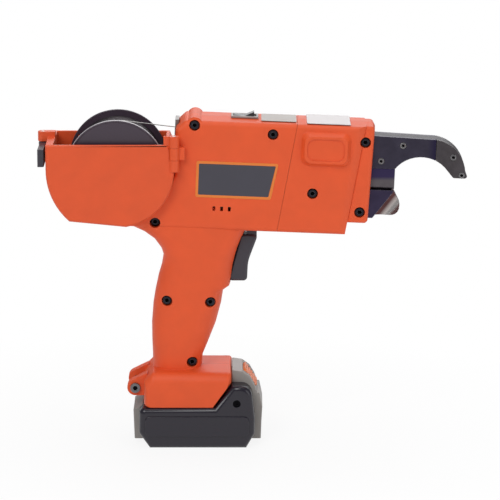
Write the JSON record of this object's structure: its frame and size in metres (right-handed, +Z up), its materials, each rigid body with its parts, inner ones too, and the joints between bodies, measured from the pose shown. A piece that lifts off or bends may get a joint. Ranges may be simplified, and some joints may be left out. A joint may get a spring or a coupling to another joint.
{
  "type": "rebar tying tool",
  "caption": "Battery pistol-grip rebar tying tool: moulded body, wire spool in a rear magazine with a door, curved jaw arm over a twisting hook, trigger and slide-on pack.",
  "frame": {"origin": "centre of the battery's flat base, on the tool's mid-plane", "axes": "+X forward to the jaw, +Y to the side without the magazine door, +Z up along the grip"},
  "size_m": [0.3406, 0.071, 0.2671],
  "materials": {
    "body_orange": "moulded glass-filled nylon, fine satin texture",
    "magazine_orange": "moulded nylon, satin",
    "black_plastic": "moulded nylon, satin black",
    "battery_black": "moulded polycarbonate blend, half gloss",
    "battery_grey": "moulded nylon, satin grey",
    "button_orange": "moulded nylon, ridged",
    "spool_plastic": "moulded styrene, smooth",
    "tie_wire": "drawn steel tie wire, 0.8 mm",
    "dark_screw": "black oxide steel",
    "bright_steel": "ground steel",
    "blued_steel": "blued hardened steel",
    "tip_steel": "hardened steel, brown finish",
    "gear_steel": "hobbed steel",
    "motor_case": "plated steel can",
    "gearbox_metal": "die cast",
    "board_green": "coated circuit board",
    "cell_wrap": "shrink-wrapped cells",
    "brass_contact": "tinned contact block"
  },
  "bodies": {
    "tool": {"housing_left": "body_orange", "housing_right": "body_orange", "nose_left": "body_orange", "nose_right": "body_orange", "housing_screws": "dark_screw", "magazine_tray": "magazine_orange", "door_hinge_pin": "bright_steel", "latch_pin": "bright_steel", "spool_axle": "black_plastic", "feed_wire": "tie_wire", "wire_inlet": "bright_steel", "feed_motor": "motor_case", "feed_axles": "bright_steel", "twist_motor": "motor_case", "gearbox_case": "gearbox_metal", "spindle_bearing": "bright_steel", "twister_block": "blued_steel", "lower_guide": "bright_steel", "arm_core": "bright_steel", "arm_plate_left": "blued_steel", "arm_plate_right": "blued_steel", "tip_plate_left": "tip_steel", "tip_plate_right": "tip_steel", "arm_screws": "dark_screw", "trigger_pin": "bright_steel", "trigger_switch": "black_plastic", "power_switch": "battery_grey", "control_board": "board_green", "terminal_block": "brass_contact", "lanyard_screw": "dark_screw"},
    "spool": {"wire_spool": "spool_plastic", "wire_winding": "tie_wire"},
    "feed_wheel_body": {"feed_wheel": "gear_steel"},
    "idler_body": {"idler_wheel": "gear_steel"},
    "pinion_body": {"feed_pinion": "gear_steel"},
    "twister": {"twist_spindle": "bright_steel", "twist_hook": "bright_steel"},
    "trigger_body": {"trigger": "black_plastic"},
    "rocker_body": {"power_rocker": "black_plastic"},
    "door": {"magazine_door": "magazine_orange"},
    "latch": {"latch_lever": "black_plastic"},
    "battery": {"battery_case": "battery_black", "battery_cover": "battery_grey", "battery_cells": "cell_wrap", "battery_screws": "dark_screw"},
    "release": {"release_button": "button_orange"}
  },
  "joints": [
    {"name": "spool_spin", "type": "hinge", "parent": "tool", "child": "spool", "pos_m": [-0.064, 0, 0.226], "axis": [0, 1, 0], "continuous": true},
    {"name": "feed_wheel_spin", "type": "hinge", "parent": "tool", "child": "feed_wheel_body", "pos_m": [0.10434, 0, 0.23225], "axis": [0, 1, 0], "continuous": true},
    {"name": "idler_spin", "type": "hinge", "parent": "tool", "child": "idler_body", "pos_m": [0.10485, 0, 0.24524], "axis": [0, 1, 0], "continuous": true},
    {"name": "pinion_spin", "type": "hinge", "parent": "tool", "child": "pinion_body", "pos_m": [0.09231, 0, 0.23717], "axis": [0, 1, 0], "continuous": true},
    {"name": "twist_spin", "type": "hinge", "parent": "tool", "child": "twister", "pos_m": [0, 0, 0.2205], "axis": [0.9992, 0, -0.0393], "continuous": true},
    {"name": "trigger_pull", "type": "hinge", "parent": "tool", "child": "trigger_body", "pos_m": [0.043, 0, 0.184], "axis": [0, 1, 0], "range_deg": [0, 6], "stiffness_Nm_per_rad": 1.2, "springref_deg": -5.73},
    {"name": "power_rock", "type": "hinge", "parent": "tool", "child": "rocker_body", "pos_m": [0.03736, 0, 0.26197], "axis": [0, 1, 0], "range_deg": [0, 20]},
    {"name": "door_swing", "type": "hinge", "parent": "tool", "child": "door", "pos_m": [-0.018, -0.03, 0.24], "axis": [0, 0, 1], "range_deg": [0, 110]},
    {"name": "latch_turn", "type": "hinge", "parent": "tool", "child": "latch", "pos_m": [-0.123, 0.006, 0.24], "axis": [0, 0, -1], "range_deg": [0, 60]},
    {"name": "battery_slide", "type": "slide", "parent": "tool", "child": "battery", "axis": [1, 0, 0], "range_m": [0, 0.075]},
    {"name": "release_press", "type": "slide", "parent": "battery", "child": "release", "axis": [-0.829, 0, -0.5592], "range_m": [0, 0.0022], "stiffness_N_per_m": 1500, "springref_m": -0.001}
  ],
  "couplings": [
    {"joint": "feed_wheel_spin", "follows": "spool_spin", "ratio": 4.25},
    {"joint": "idler_spin", "follows": "spool_spin", "ratio": -6.8},
    {"joint": "pinion_spin", "follows": "spool_spin", "ratio": -6.8}
  ]
}
